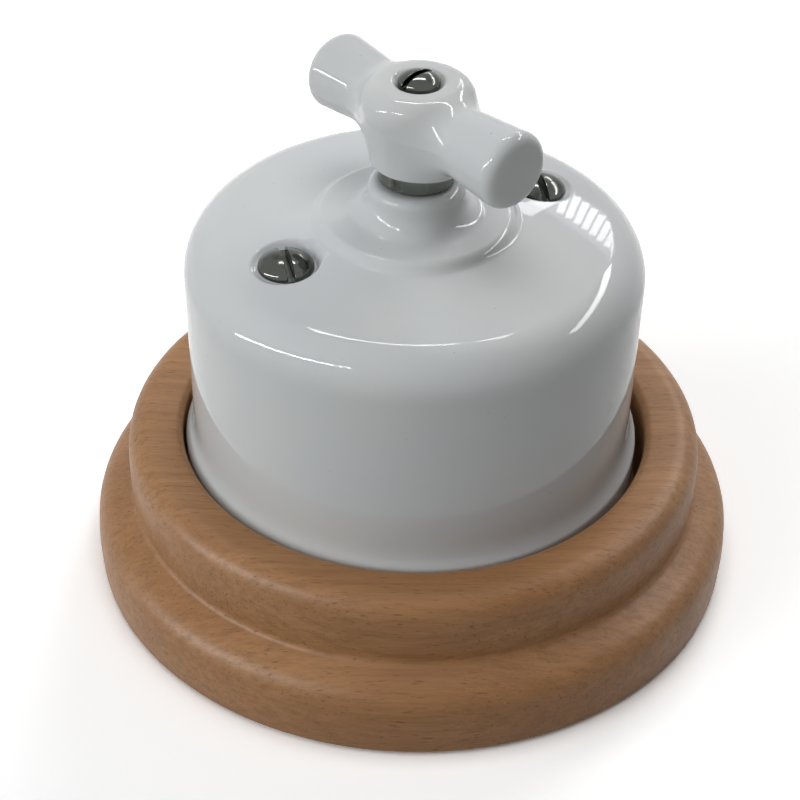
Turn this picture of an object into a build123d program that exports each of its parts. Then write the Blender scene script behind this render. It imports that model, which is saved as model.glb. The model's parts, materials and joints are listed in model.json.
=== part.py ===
"""Porcelain rotary light switch on a turned beech base.

A white glazed porcelain cover with a T-shaped turn knob stands in the round
recess of a beech base that is screwed to the wall. Inside, the knob turns a
steel spindle, which carries a square detent cam and a bridging contact blade.

Millimetres, +Z away from the wall. The origin is on the spindle's axis, in the
plane of the base's back face. The knob's arms lie along X at rest, switched off.
"""
import os
from math import cos, radians, sin

from build123d import *

# Fits and clearances
running_gap = 0.05
thread_gap = 0.05
drive_gap = 0.05
screw_hole_gap = 0.25
head_pocket_gap = 0.4
turning_gap = 0.3
bearing_end_gap = 0.1
contact_gap = 0.1
spigot_gap = 0.4
pillar_top_gap = 0.4
end_gap = 0.3

# Beech base: a turned ring of two steps with a recess for the switch
base_diameter = 95.0
base_height = 23.1
base_foot_round = 1.2
base_side_height = 10.8
base_side_bulge = 0.25
base_shoulder_round = 4.4
base_groove_diameter = 84.0
base_groove_height = 13.4
base_groove_round = 1.6
base_upper_bulge = 0.35
base_crest_round = 3.4
base_inner_edge_drop = 0.5
base_inner_edge_round = 1.3
recess_diameter = 68.4
recess_floor_height = 9.0
cable_hole_diameter = 32.0
# The switch stands a little off the middle of its recess
recess_off_x = 0.31
recess_off_y = 0.32

# Wall screws: two countersunk holes in the recess floor
wall_screw_spacing = 60.0
wall_screw_hole_diameter = 4.5
wall_screw_head_diameter = 8.0

# Porcelain base that carries the mechanism
carrier_diameter = 65.2
carrier_flange_height = 7.0
carrier_spigot_height = 3.0
carrier_edge_round = 0.8
carrier_spigot_round = 0.6
pocket_depth = 3.0
wire_hole_diameter = 7.0
wire_hole_radius = 11.5
fixing_angle = 45.0

# Porcelain cover
cover_rim_diameter = 66.0
cover_rim_height = 5.0
cover_cove_height = 4.5
cover_waist_diameter = 64.1
cover_top_diameter = 65.0
cover_wall = 3.6
cover_edge_height = 38.2
cover_edge_round = 4.2
cover_dome_radius = 131.0
cover_roof = 2.2
cover_inner_round = 3.0
cover_disc_diameter = 27.8
cover_disc_step = 1.11
cover_disc_round = 0.55
cover_hub_diameter = 13.6
cover_hub_height = 5.0
cover_hub_foot_round = 1.6
cover_hub_top_round = 1.3
cover_rim_round = 0.7

# Cover screws, their wells in the glaze and the pillars that they enter
cover_screw_radius = 20.4
cover_screw_angle = 78.8
cover_screw_diameter = 3.9
cover_screw_head_diameter = 7.8
cover_screw_head_edge = 0.9
cover_screw_head_dome = 1.3
cover_screw_length = 18.0
cover_screw_slot_width = 1.0
cover_screw_slot_angle = 73.0
cover_well_diameter = 9.2
cover_well_depth = 1.1
pillar_diameter = 7.0
pillar_bore_spare = 2.0
pillar_edge = 0.4

# Small screws: pillar, frame, contact, base and terminal screws
pillar_screw_diameter = 3.4
pillar_screw_head_diameter = 6.4
pillar_screw_head_height = 2.4
pillar_screw_reach = 6.0
frame_screw_diameter = 2.9
frame_screw_head_diameter = 5.4
frame_screw_head_height = 2.0
frame_nut_width = 5.5
frame_nut_height = 2.4
frame_screw_spare = 0.3
contact_screw_diameter = 2.9
contact_screw_head_diameter = 5.6
contact_screw_head_height = 2.0
contact_screw_reach = 2.0
base_screw_diameter = 2.9
base_screw_head_diameter = 6.4
base_screw_head_height = 1.9
base_screw_head_dome = 0.3
base_screw_radius = 24.0
base_screw_bite = 6.5
base_screw_tip = 2.0
terminal_screw_diameter = 2.9
terminal_screw_head_diameter = 5.0
terminal_screw_head_height = 1.8
terminal_screw_stand_off = 1.0
small_slot_width = 0.7
small_head_dome = 0.2

# Spindle, from its bearing in the porcelain base to the knob
journal_diameter = 5.0
spindle_lower_diameter = 8.4
spindle_diameter = 6.0
spindle_flat_width = 4.6
spindle_flats_start_gap = 0.3
spindle_end_recess = 1.0
spindle_thread_depth = 10.5
clip_groove_diameter = 4.0
clip_diameter = 8.8
clip_thickness = 0.6
clip_mouth_width = 3.4
clip_side_gap = 0.2
thrust_washer_diameter = 12.0
thrust_washer_thickness = 0.5

# Rotor and contact blade
blade_height = 11.0
blade_length = 24.0
blade_width = 8.0
blade_thickness = 0.8
rotor_diameter = 15.0
rotor_height = 6.8
rotor_edge = 0.8
rotor_pin_diameter = 1.6
rotor_pin_length = 14.0
blade_rivet_diameter = 1.5
blade_rivet_radius = 5.8
blade_rivet_head_diameter = 2.4
blade_rivet_head_height = 0.5
blade_rivet_reach = 2.5

# Mechanism frame: a steel bridge over the rotor
frame_leg_inside = 26.0
frame_thickness = 1.2
frame_width = 13.0
frame_height = 25.2
frame_foot_length = 9.0
frame_screw_radius = 18.3
frame_bend_round = 1.0

# Detent cam and its hairpin spring, on top of the frame
cam_width = 9.0
cam_height = 4.0
cam_corner = 0.5
spring_thickness = 0.6
spring_height = 3.8
spring_leg_front = 8.5
spring_bend_middle = 6.5
spring_post_diameter = 3.0
spring_post_head_diameter = 4.8
spring_post_head_height = 0.8

# Fixed contacts and wire terminals
contact_angle = 135.0
contact_radius = 22.5
contact_width = 6.0
contact_strip = 0.8
contact_foot_end = 26.2
contact_riser_radius = 16.4
contact_tip_radius = 9.5
contact_bend_round = 1.0
terminal_length = 7.6
terminal_width = 7.0
terminal_height = 7.0
terminal_edge = 0.4
terminal_wire_hole_diameter = 3.2
terminal_wire_hole_height = 3.8

# Knob collar: a plated spacer tube with a flange under the knob
collar_diameter = 10.7
collar_stem_diameter = 7.8
collar_flange_height = 2.8
collar_edge = 0.3

# Turn knob
knob_boss_foot_diameter = 12.5
knob_boss_top_diameter = 19.0
knob_boss_height = 12.2
knob_boss_hollow = 0.35
knob_boss_top_round = 3.0
knob_boss_foot_round = 0.5
# One arm is a little longer than the other
knob_short_arm = 17.8
knob_long_arm = 19.6
knob_arm_height = 6.7
knob_arm_root_diameter = 7.9
knob_arm_end_diameter = 11.1
knob_arm_end_round = 2.0
knob_web_round = 1.6
knob_screw_recess_diameter = 6.8
knob_screw_recess_depth = 1.0
knob_socket_depth = 7.8

# Knob screw
knob_screw_diameter = 2.4
knob_screw_head_diameter = 5.8
knob_screw_head_edge = 1.0
knob_screw_head_dome = 1.2
knob_screw_reach = 8.0
knob_screw_slot_width = 0.9
knob_screw_slot_angle = 91.0

# Levels above the wall, each standing on the piece below it
flange_top = recess_floor_height + carrier_flange_height
floor_top = flange_top + carrier_spigot_height
pocket_top = recess_floor_height + pocket_depth
ceiling = flange_top + cover_edge_height - cover_roof
washer_top = floor_top + thrust_washer_thickness
spindle_shoulder = washer_top + bearing_end_gap
blade_bottom = floor_top + blade_height
blade_top = blade_bottom + blade_thickness
rotor_top = blade_top + rotor_height
frame_top = floor_top + frame_height
cam_bottom = frame_top + spindle_flats_start_gap
cam_top = cam_bottom + cam_height
block_bottom = floor_top + contact_strip

# Radii used by more than one piece
base_radius = base_diameter / 2
recess_radius = recess_diameter / 2
cover_inner_radius = cover_waist_diameter / 2 - cover_wall
spigot_radius = cover_inner_radius - spigot_gap
cover_top_radius = cover_top_diameter / 2
disc_radius = cover_disc_diameter / 2
cover_edge_level = flange_top + cover_edge_height


def dome_level(radius):
    """Height of the cover's domed top, whose outer corner is at the edge level."""
    drop_at_edge = cover_top_radius**2 / (2 * cover_dome_radius)
    return cover_edge_level + drop_at_edge - radius**2 / (2 * cover_dome_radius)


# Levels above the cover's dome
well_floor = dome_level(cover_screw_radius) - cover_well_depth
disc_top = dome_level(disc_radius) + cover_disc_step
hub_top = disc_top + cover_hub_height
collar_flange_bottom = hub_top + turning_gap
knob_foot = collar_flange_bottom + collar_flange_height
knob_top = knob_foot + knob_boss_height
knob_seat = knob_top - knob_screw_recess_depth
spindle_top = knob_foot + knob_socket_depth - turning_gap


def round_corner(sketch, x, y, radius):
    """Round the corner of the open sketch that lies nearest to the point x, y."""
    fillet(sketch.vertices().sort_by_distance((x, y))[0], radius)


def write(piece, name):
    """Label one finished piece and write its file."""
    piece.part.label = name
    export_step(piece.part, f"parts/{name}.step")


def flatted_circle(diameter, across, mode=Mode.ADD):
    """Draw a circle with two parallel flats in the open sketch."""
    with BuildSketch(mode=Mode.PRIVATE) as shape:
        Circle(diameter / 2)
        Rectangle(diameter * 2, across, mode=Mode.INTERSECT)
    add(shape.sketch, mode=mode)


def slotted_screw(head_diameter, head_edge, head_dome, shank_diameter, shank_length, slot_width, tip=0.0):
    """One screw along Z, its head's underside at the origin: a low domed head with a slot."""
    head_r = head_diameter / 2
    shank_r = shank_diameter / 2
    head_top = head_edge + head_dome
    slot_depth = head_dome + head_edge / 3
    with BuildPart() as screw:
        with BuildSketch(Plane.XZ):
            with BuildLine():
                Polyline(
                    (0, -shank_length - tip),
                    (shank_r, -shank_length),
                    (shank_r, 0),
                    (head_r, 0),
                    (head_r, head_edge),
                )
                ThreePointArc(
                    (head_r, head_edge), (head_r * 0.7, head_edge + head_dome * 0.55), (0, head_top)
                )
                Line((0, head_top), (0, -shank_length - tip))
            make_face()
        revolve(axis=Axis.Z)
        with Locations((0, 0, head_top)):
            Box(head_diameter * 2, slot_width, slot_depth * 2, mode=Mode.SUBTRACT)
    return screw.part


os.makedirs("parts", exist_ok=True)

# Turned beech base
groove_radius = base_groove_diameter / 2
side_radius = base_radius - base_side_bulge
upper_radius = groove_radius - base_upper_bulge
cable_hole_radius = cable_hole_diameter / 2
inner_edge_height = base_height - base_inner_edge_drop
wood_axis = Axis((recess_off_x, recess_off_y, 0), (0, 0, 1))
wood_section = Plane(origin=(recess_off_x, recess_off_y, 0), x_dir=(1, 0, 0), z_dir=(0, -1, 0))

with BuildPart() as wooden_base:
    with BuildSketch(wood_section) as wood_profile:
        with BuildLine():
            Line((cable_hole_radius, 0), (side_radius, 0))
            ThreePointArc(
                (side_radius, 0), (base_radius, base_side_height / 2), (side_radius, base_side_height)
            )
            Line((side_radius, base_side_height), (upper_radius, base_groove_height))
            ThreePointArc(
                (upper_radius, base_groove_height),
                (groove_radius, (base_groove_height + base_height) / 2),
                (upper_radius, base_height),
            )
            Polyline(
                (upper_radius, base_height),
                (recess_radius, inner_edge_height),
                (recess_radius, recess_floor_height),
                (cable_hole_radius, recess_floor_height),
                (cable_hole_radius, 0),
            )
        make_face()
        round_corner(wood_profile, side_radius, 0, base_foot_round)
        round_corner(wood_profile, side_radius, base_side_height, base_shoulder_round)
        round_corner(wood_profile, upper_radius, base_groove_height, base_groove_round)
        round_corner(wood_profile, upper_radius, base_height, base_crest_round)
        round_corner(wood_profile, recess_radius, inner_edge_height, base_inner_edge_round)
    revolve(axis=wood_axis)
    with Locations(Plane((recess_off_x, recess_off_y, recess_floor_height))):
        with GridLocations(wall_screw_spacing, 0, 2, 1):
            CounterSinkHole(wall_screw_hole_diameter / 2, wall_screw_head_diameter / 2)
    with Locations(Plane.XY.offset(recess_floor_height)):
        with PolarLocations(base_screw_radius, 2, fixing_angle):
            Hole(base_screw_diameter / 2 + thread_gap, base_screw_bite)
write(wooden_base, "wooden_base")

# Porcelain base: a flanged disc with the holes and pockets of every fastener
carrier_radius = carrier_diameter / 2
frame_pocket_radius = frame_nut_width / 2 / cos(radians(30)) + head_pocket_gap
underside = Plane(origin=(0, 0, recess_floor_height), x_dir=(1, 0, 0), z_dir=(0, 0, -1))

with BuildPart() as porcelain_base:
    with BuildSketch(Plane.XZ) as carrier_profile:
        with BuildLine():
            Polyline(
                (0, recess_floor_height),
                (carrier_radius, recess_floor_height),
                (carrier_radius, flange_top),
                (spigot_radius, flange_top),
                (spigot_radius, floor_top),
                (0, floor_top),
                (0, recess_floor_height),
            )
        make_face()
        round_corner(carrier_profile, carrier_radius, recess_floor_height, carrier_edge_round)
        round_corner(carrier_profile, spigot_radius, floor_top, carrier_spigot_round)
    revolve(axis=Axis.Z)
    with Locations(Plane.XY.offset(floor_top)):
        with PolarLocations(wire_hole_radius, 2, fixing_angle):
            Hole(wire_hole_diameter / 2)
        with PolarLocations(base_screw_radius, 2, fixing_angle):
            CounterBoreHole(
                base_screw_diameter / 2 + screw_hole_gap,
                base_screw_head_diameter / 2 + head_pocket_gap,
                base_screw_head_height + base_screw_head_dome,
            )
    with Locations(underside):
        CounterBoreHole(
            journal_diameter / 2 + running_gap, clip_diameter / 2 + head_pocket_gap, pocket_depth
        )
        with PolarLocations(frame_screw_radius, 2):
            CounterBoreHole(frame_screw_diameter / 2 + screw_hole_gap, frame_pocket_radius, pocket_depth)
        with PolarLocations(contact_radius, 2, -contact_angle):
            CounterBoreHole(
                contact_screw_diameter / 2 + screw_hole_gap,
                contact_screw_head_diameter / 2 + head_pocket_gap,
                pocket_depth,
            )
        with PolarLocations(cover_screw_radius, 2, -cover_screw_angle):
            CounterBoreHole(
                pillar_screw_diameter / 2 + screw_hole_gap,
                pillar_screw_head_diameter / 2 + head_pocket_gap,
                pocket_depth,
            )
write(porcelain_base, "porcelain_base")

# Porcelain cover: a domed cup with a raised disc, a hub for the collar and two screw wells
rim_radius = cover_rim_diameter / 2
rim_top = flange_top + cover_rim_height
waist_radius = cover_waist_diameter / 2
cove_top = rim_top + cover_cove_height
cove_middle = waist_radius + (rim_radius - waist_radius) * 0.22
hub_radius = cover_hub_diameter / 2
hub_bore_radius = collar_stem_diameter / 2 + turning_gap
dome_middle = (cover_top_radius + disc_radius) / 2

with BuildPart() as porcelain_cover:
    with BuildSketch(Plane.XZ) as cover_profile:
        with BuildLine():
            Polyline((cover_inner_radius, flange_top), (rim_radius, flange_top), (rim_radius, rim_top))
            ThreePointArc(
                (rim_radius, rim_top),
                (cove_middle, rim_top + cover_cove_height * 0.45),
                (waist_radius, cove_top),
            )
            Line((waist_radius, cove_top), (cover_top_radius, cover_edge_level))
            ThreePointArc(
                (cover_top_radius, cover_edge_level),
                (dome_middle, dome_level(dome_middle)),
                (disc_radius, dome_level(disc_radius)),
            )
            Polyline(
                (disc_radius, dome_level(disc_radius)),
                (disc_radius, disc_top),
                (hub_radius, disc_top),
                (hub_radius, hub_top),
                (hub_bore_radius, hub_top),
                (hub_bore_radius, ceiling),
                (cover_inner_radius, ceiling),
                (cover_inner_radius, flange_top),
            )
        make_face()
        round_corner(cover_profile, rim_radius, rim_top, cover_rim_round)
        round_corner(cover_profile, cover_top_radius, cover_edge_level, cover_edge_round)
        round_corner(cover_profile, disc_radius, dome_level(disc_radius), cover_disc_round)
        round_corner(cover_profile, disc_radius, disc_top, cover_disc_round)
        round_corner(cover_profile, hub_radius, disc_top, cover_hub_foot_round)
        round_corner(cover_profile, hub_radius, hub_top, cover_hub_top_round)
        round_corner(cover_profile, cover_inner_radius, ceiling, cover_inner_round)
    revolve(axis=Axis.Z)
    with Locations(Plane.XY.offset(well_floor)):
        with PolarLocations(cover_screw_radius, 2, cover_screw_angle):
            CounterBoreHole(cover_screw_diameter / 2 + screw_hole_gap, cover_well_diameter / 2, 0.0)
write(porcelain_cover, "porcelain_cover")

# Brass pillars, with the screws that hold them and the screws that hold the cover
pillar_height = ceiling - floor_top - pillar_top_gap
pillar_bore_depth = cover_screw_length - (well_floor - floor_top - pillar_height) + pillar_bore_spare
pillar_screw_length = floor_top - pocket_top + pillar_screw_reach

with BuildPart() as cover_pillars:
    with Locations(Plane.XY.offset(floor_top)):
        with PolarLocations(cover_screw_radius, 2, cover_screw_angle):
            Cylinder(pillar_diameter / 2, pillar_height, align=(Align.CENTER, Align.CENTER, Align.MIN))
    chamfer(cover_pillars.edges().filter_by(GeomType.CIRCLE), pillar_edge)
    with Locations(Plane.XY.offset(floor_top + pillar_height)):
        with PolarLocations(cover_screw_radius, 2, cover_screw_angle):
            Hole(cover_screw_diameter / 2 + thread_gap, pillar_bore_depth)
    with Locations(Plane.XY.offset(floor_top)):
        with PolarLocations(cover_screw_radius, 2, cover_screw_angle):
            Hole(pillar_screw_diameter / 2 + thread_gap, pillar_screw_reach + pillar_bore_spare)
write(cover_pillars, "cover_pillars")

pillar_screw = slotted_screw(
    pillar_screw_head_diameter, pillar_screw_head_height, small_head_dome, pillar_screw_diameter,
    pillar_screw_length, small_slot_width,
)
with BuildPart() as pillar_screws:
    with Locations(Plane(origin=(0, 0, pocket_top), x_dir=(1, 0, 0), z_dir=(0, 0, -1))):
        with PolarLocations(cover_screw_radius, 2, -cover_screw_angle):
            add(pillar_screw)
write(pillar_screws, "pillar_screws")

cover_screw = slotted_screw(
    cover_screw_head_diameter, cover_screw_head_edge, cover_screw_head_dome, cover_screw_diameter,
    cover_screw_length, cover_screw_slot_width,
)
with BuildPart() as cover_screws:
    with Locations(Plane.XY.offset(well_floor)):
        with PolarLocations(cover_screw_radius, 2, cover_screw_angle):
            add(cover_screw, rotation=(0, 0, cover_screw_slot_angle))
write(cover_screws, "cover_screws")

# Wood screws that hold the porcelain base down on the beech base
base_head_seat = floor_top - base_screw_head_height - base_screw_head_dome
base_screw = slotted_screw(
    base_screw_head_diameter, base_screw_head_height, base_screw_head_dome, base_screw_diameter,
    base_head_seat - recess_floor_height + base_screw_bite - base_screw_tip - end_gap,
    small_slot_width, base_screw_tip,
)
with BuildPart() as base_screws:
    with Locations(Plane.XY.offset(base_head_seat)):
        with PolarLocations(base_screw_radius, 2, fixing_angle):
            add(base_screw)
write(base_screws, "base_screws")

# Mechanism frame: one strip of steel bent into a bridge with two feet
frame_leg_x = (frame_leg_inside + frame_thickness) / 2
foot_middle = floor_top + frame_thickness / 2
bridge_middle = frame_top - frame_thickness / 2
post_x = spring_bend_middle + cam_width / 2 + contact_gap - spring_post_diameter / 2 - running_gap

with BuildPart() as mechanism_frame:
    with BuildSketch(Plane.XZ):
        with BuildLine():
            FilletPolyline(
                (frame_leg_x + frame_foot_length, foot_middle),
                (frame_leg_x, foot_middle),
                (frame_leg_x, bridge_middle),
                (-frame_leg_x, bridge_middle),
                (-frame_leg_x, foot_middle),
                (-frame_leg_x - frame_foot_length, foot_middle),
                radius=frame_bend_round,
            )
        trace(line_width=frame_thickness)
    extrude(amount=frame_width / 2, both=True)
    with Locations(Plane.XY.offset(frame_top)):
        Hole(spindle_diameter / 2 + running_gap, frame_thickness * 2)
        with Locations((post_x, 0)):
            Hole(spring_post_diameter / 2 + thread_gap, frame_thickness * 2)
    with Locations(Plane.XY.offset(floor_top + frame_thickness)):
        with PolarLocations(frame_screw_radius, 2):
            Hole(frame_screw_diameter / 2 + screw_hole_gap, frame_thickness * 2)
write(mechanism_frame, "mechanism_frame")

frame_screw = slotted_screw(
    frame_screw_head_diameter, frame_screw_head_height, small_head_dome, frame_screw_diameter,
    floor_top + frame_thickness - pocket_top + frame_nut_height - frame_screw_spare, small_slot_width,
)
with BuildPart() as frame_screws:
    with Locations(Plane.XY.offset(floor_top + frame_thickness)):
        with PolarLocations(frame_screw_radius, 2):
            add(frame_screw)
write(frame_screws, "frame_screws")

with BuildPart() as frame_nuts:
    with BuildSketch(Plane.XY.offset(pocket_top - frame_nut_height)):
        with PolarLocations(frame_screw_radius, 2):
            RegularPolygon(frame_nut_width / 2, 6, major_radius=False)
            Circle(frame_screw_diameter / 2 + thread_gap, mode=Mode.SUBTRACT)
    extrude(amount=frame_nut_height)
write(frame_nuts, "frame_nuts")

# Spindle: journal, thick lower part, round shaft and a double-flat upper end
clip_top = pocket_top - clip_side_gap
clip_bottom = clip_top - clip_thickness
journal_radius = journal_diameter / 2
groove_r = clip_groove_diameter / 2
lower_radius = spindle_lower_diameter / 2
spindle_radius = spindle_diameter / 2
pin_level = blade_top + rotor_height / 2

with BuildPart() as spindle:
    with BuildSketch(Plane.XZ):
        with BuildLine():
            Polyline(
                (0, recess_floor_height + spindle_end_recess),
                (journal_radius, recess_floor_height + spindle_end_recess),
                (journal_radius, clip_bottom - thread_gap),
                (groove_r, clip_bottom - thread_gap),
                (groove_r, clip_top + thread_gap),
                (journal_radius, clip_top + thread_gap),
                (journal_radius, spindle_shoulder),
                (lower_radius, spindle_shoulder),
                (lower_radius, blade_bottom),
                (spindle_radius, blade_bottom),
                (spindle_radius, spindle_top),
                (0, spindle_top),
                (0, recess_floor_height + spindle_end_recess),
            )
        make_face()
    revolve(axis=Axis.Z)
    with BuildSketch(Plane.XY.offset(cam_bottom)):
        Circle(spindle_radius)
        Rectangle(spindle_diameter, spindle_flat_width, mode=Mode.SUBTRACT)
    extrude(amount=spindle_top - cam_bottom, mode=Mode.SUBTRACT)
    with Locations(Plane.XY.offset(spindle_top)):
        Hole(knob_screw_diameter / 2 + thread_gap, spindle_thread_depth)
    with Locations(Location((0, 0, pin_level), (90, 0, 45))):
        Cylinder(rotor_pin_diameter / 2 + thread_gap, spindle_lower_diameter, mode=Mode.SUBTRACT)
write(spindle, "spindle")

with BuildPart() as spindle_clip:
    with BuildSketch(Plane.XY.offset(clip_bottom)):
        Circle(clip_diameter / 2)
        Circle(groove_r + running_gap, mode=Mode.SUBTRACT)
        with Locations((clip_diameter / 2, 0)):
            Rectangle(clip_diameter, clip_mouth_width, mode=Mode.SUBTRACT)
    extrude(amount=clip_thickness)
write(spindle_clip, "spindle_clip")

with BuildPart() as thrust_washer:
    with BuildSketch(Plane.XY.offset(floor_top)):
        Circle(thrust_washer_diameter / 2)
        Circle(journal_radius + screw_hole_gap, mode=Mode.SUBTRACT)
    extrude(amount=thrust_washer_thickness)
write(thrust_washer, "thrust_washer")

# Rotor with its cross pin, and the brass blade riveted under it
with BuildPart() as rotor:
    with BuildSketch(Plane.XY.offset(blade_top)):
        Circle(rotor_diameter / 2)
        Circle(spindle_radius + thread_gap, mode=Mode.SUBTRACT)
    extrude(amount=rotor_height)
    chamfer(rotor.edges().group_by(Axis.Z)[-1].sort_by(SortBy.RADIUS)[-1], rotor_edge)
    with Locations(Location((0, 0, pin_level), (90, 0, 45))):
        Cylinder(rotor_pin_diameter / 2 + thread_gap, rotor_diameter * 2, mode=Mode.SUBTRACT)
    with Locations(Plane.XY.offset(blade_top)):
        with PolarLocations(blade_rivet_radius, 2, fixing_angle):
            Hole(blade_rivet_diameter / 2 + thread_gap, blade_rivet_reach)
write(rotor, "rotor")

with BuildPart() as rotor_pin:
    with Locations(Location((0, 0, pin_level), (90, 0, 45))):
        Cylinder(rotor_pin_diameter / 2, rotor_pin_length)
write(rotor_pin, "rotor_pin")

with BuildPart() as contact_blade:
    with BuildSketch(Plane.XY.offset(blade_bottom).rotated((0, 0, fixing_angle))):
        Circle(blade_length / 2)
        Rectangle(blade_length, blade_width, mode=Mode.INTERSECT)
        Circle(spindle_radius + thread_gap, mode=Mode.SUBTRACT)
        with PolarLocations(blade_rivet_radius, 2):
            Circle(blade_rivet_diameter / 2 + thread_gap, mode=Mode.SUBTRACT)
    extrude(amount=blade_thickness)
write(contact_blade, "contact_blade")

with BuildPart() as blade_rivets:
    with BuildSketch(Plane.XY.offset(blade_bottom - blade_rivet_head_height)):
        with PolarLocations(blade_rivet_radius, 2, fixing_angle):
            Circle(blade_rivet_head_diameter / 2)
    extrude(amount=blade_rivet_head_height)
    with BuildSketch(Plane.XY.offset(blade_bottom)):
        with PolarLocations(blade_rivet_radius, 2, fixing_angle):
            Circle(blade_rivet_diameter / 2)
    extrude(amount=blade_thickness + blade_rivet_reach - end_gap)
write(blade_rivets, "blade_rivets")

# Square detent cam and the hairpin spring that grips it, held by a headed post
with BuildPart() as detent_cam:
    with BuildSketch(Plane.XY.offset(cam_bottom)):
        RectangleRounded(cam_width, cam_width, cam_corner)
        flatted_circle(
            spindle_diameter + 2 * drive_gap, spindle_flat_width + 2 * drive_gap, Mode.SUBTRACT
        )
    extrude(amount=cam_height)
write(detent_cam, "detent_cam")

spring_middle = cam_width / 2 + contact_gap + spring_thickness / 2
with BuildPart() as detent_spring:
    with BuildSketch(Plane.XY.offset(frame_top)):
        with BuildLine():
            Line((-spring_leg_front, spring_middle), (spring_bend_middle, spring_middle))
            ThreePointArc(
                (spring_bend_middle, spring_middle),
                (spring_bend_middle + spring_middle, 0),
                (spring_bend_middle, -spring_middle),
            )
            Line((spring_bend_middle, -spring_middle), (-spring_leg_front, -spring_middle))
        trace(line_width=spring_thickness)
    extrude(amount=spring_height)
write(detent_spring, "detent_spring")

with BuildPart() as spring_post:
    with BuildSketch(Plane.XY.offset(frame_top - frame_thickness)):
        with Locations((post_x, 0)):
            Circle(spring_post_diameter / 2)
    extrude(amount=frame_thickness + spring_height + bearing_end_gap)
    with BuildSketch(Plane.XY.offset(frame_top + spring_height + bearing_end_gap)):
        with Locations((post_x, 0)):
            Circle(spring_post_head_diameter / 2)
    extrude(amount=spring_post_head_height)
write(spring_post, "spring_post")

# Fixed contacts: a bent brass strip for the line wire and one for the load wire
strip_low = floor_top + contact_strip / 2
strip_high = blade_bottom - contact_gap - contact_strip / 2


def fixed_contact(angle):
    """One contact strip at this angle: foot under the terminal, riser, and leaf towards the rotor."""
    turn = radians(angle)
    section = Plane(origin=(0, 0, 0), x_dir=(cos(turn), sin(turn), 0), z_dir=(sin(turn), -cos(turn), 0))
    with BuildPart() as strip:
        with BuildSketch(section):
            with BuildLine():
                FilletPolyline(
                    (contact_foot_end, strip_low),
                    (contact_riser_radius, strip_low),
                    (contact_riser_radius, strip_high),
                    (contact_tip_radius, strip_high),
                    radius=contact_bend_round,
                )
            trace(line_width=contact_strip)
        extrude(amount=contact_width / 2, both=True)
        with Locations(Plane.XY.offset(floor_top + contact_strip)):
            with PolarLocations(contact_radius, 1, angle):
                Hole(contact_screw_diameter / 2 + screw_hole_gap, contact_strip * 2)
    return strip


line_contact = fixed_contact(contact_angle)
write(line_contact, "line_contact")
load_contact = fixed_contact(contact_angle + 180)
write(load_contact, "load_contact")

# Terminal blocks: a wire hole towards the middle, tapped above and below
with BuildPart() as terminal_blocks:
    with Locations(Plane.XY.offset(block_bottom)):
        with PolarLocations(contact_radius, 2, contact_angle):
            Box(
                terminal_length, terminal_width, terminal_height,
                align=(Align.CENTER, Align.CENTER, Align.MIN),
            )
    chamfer(terminal_blocks.edges().filter_by(Axis.Z), terminal_edge)
    with Locations(Plane.XY.offset(block_bottom)):
        with PolarLocations(contact_radius, 2, contact_angle):
            Hole(contact_screw_diameter / 2 + thread_gap, contact_screw_reach)
    with Locations(Plane.XY.offset(block_bottom + terminal_wire_hole_height)):
        with PolarLocations(contact_radius, 2, contact_angle):
            Cylinder(
                terminal_wire_hole_diameter / 2, terminal_length * 2,
                rotation=(0, 90, 0), mode=Mode.SUBTRACT,
            )
    with Locations(Plane.XY.offset(block_bottom + terminal_height)):
        with PolarLocations(contact_radius, 2, contact_angle):
            Hole(terminal_screw_diameter / 2 + thread_gap, terminal_height - terminal_wire_hole_height)
write(terminal_blocks, "terminal_blocks")

contact_screw = slotted_screw(
    contact_screw_head_diameter, contact_screw_head_height, small_head_dome, contact_screw_diameter,
    block_bottom - pocket_top + contact_screw_reach - end_gap, small_slot_width,
)
with BuildPart() as contact_screws:
    with Locations(Plane(origin=(0, 0, pocket_top), x_dir=(1, 0, 0), z_dir=(0, 0, -1))):
        with PolarLocations(contact_radius, 2, -contact_angle):
            add(contact_screw)
write(contact_screws, "contact_screws")

terminal_screw = slotted_screw(
    terminal_screw_head_diameter, terminal_screw_head_height, small_head_dome, terminal_screw_diameter,
    terminal_height - terminal_wire_hole_height - terminal_wire_hole_diameter / 2
    + terminal_screw_stand_off, small_slot_width,
)
with BuildPart() as terminal_screws:
    with Locations(Plane.XY.offset(block_bottom + terminal_height + terminal_screw_stand_off)):
        with PolarLocations(contact_radius, 2, contact_angle):
            add(terminal_screw)
write(terminal_screws, "terminal_screws")

# Knob collar: a plated tube clamped between the cam and the knob, with a flange over the hub
with BuildPart() as knob_collar:
    with BuildSketch(Plane.XZ) as collar_profile:
        with BuildLine():
            Polyline(
                (spindle_radius + running_gap, cam_top),
                (collar_stem_diameter / 2, cam_top),
                (collar_stem_diameter / 2, collar_flange_bottom),
                (collar_diameter / 2, collar_flange_bottom),
                (collar_diameter / 2, knob_foot),
                (spindle_radius + running_gap, knob_foot),
                (spindle_radius + running_gap, cam_top),
            )
        make_face()
        round_corner(collar_profile, collar_diameter / 2, collar_flange_bottom, collar_edge)
        round_corner(collar_profile, collar_diameter / 2, knob_foot, collar_edge)
    revolve(axis=Axis.Z)
write(knob_collar, "knob_collar")

# Turn knob: a boss that widens upwards and two flared arms, moulded in one piece
boss_foot_radius = knob_boss_foot_diameter / 2
boss_top_radius = knob_boss_top_diameter / 2
arm_root_radius = knob_arm_root_diameter / 2
arm_end_radius = knob_arm_end_diameter / 2
arm_level = knob_foot + knob_arm_height
arm_axis = Axis((0, 0, arm_level), (1, 0, 0))

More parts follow.
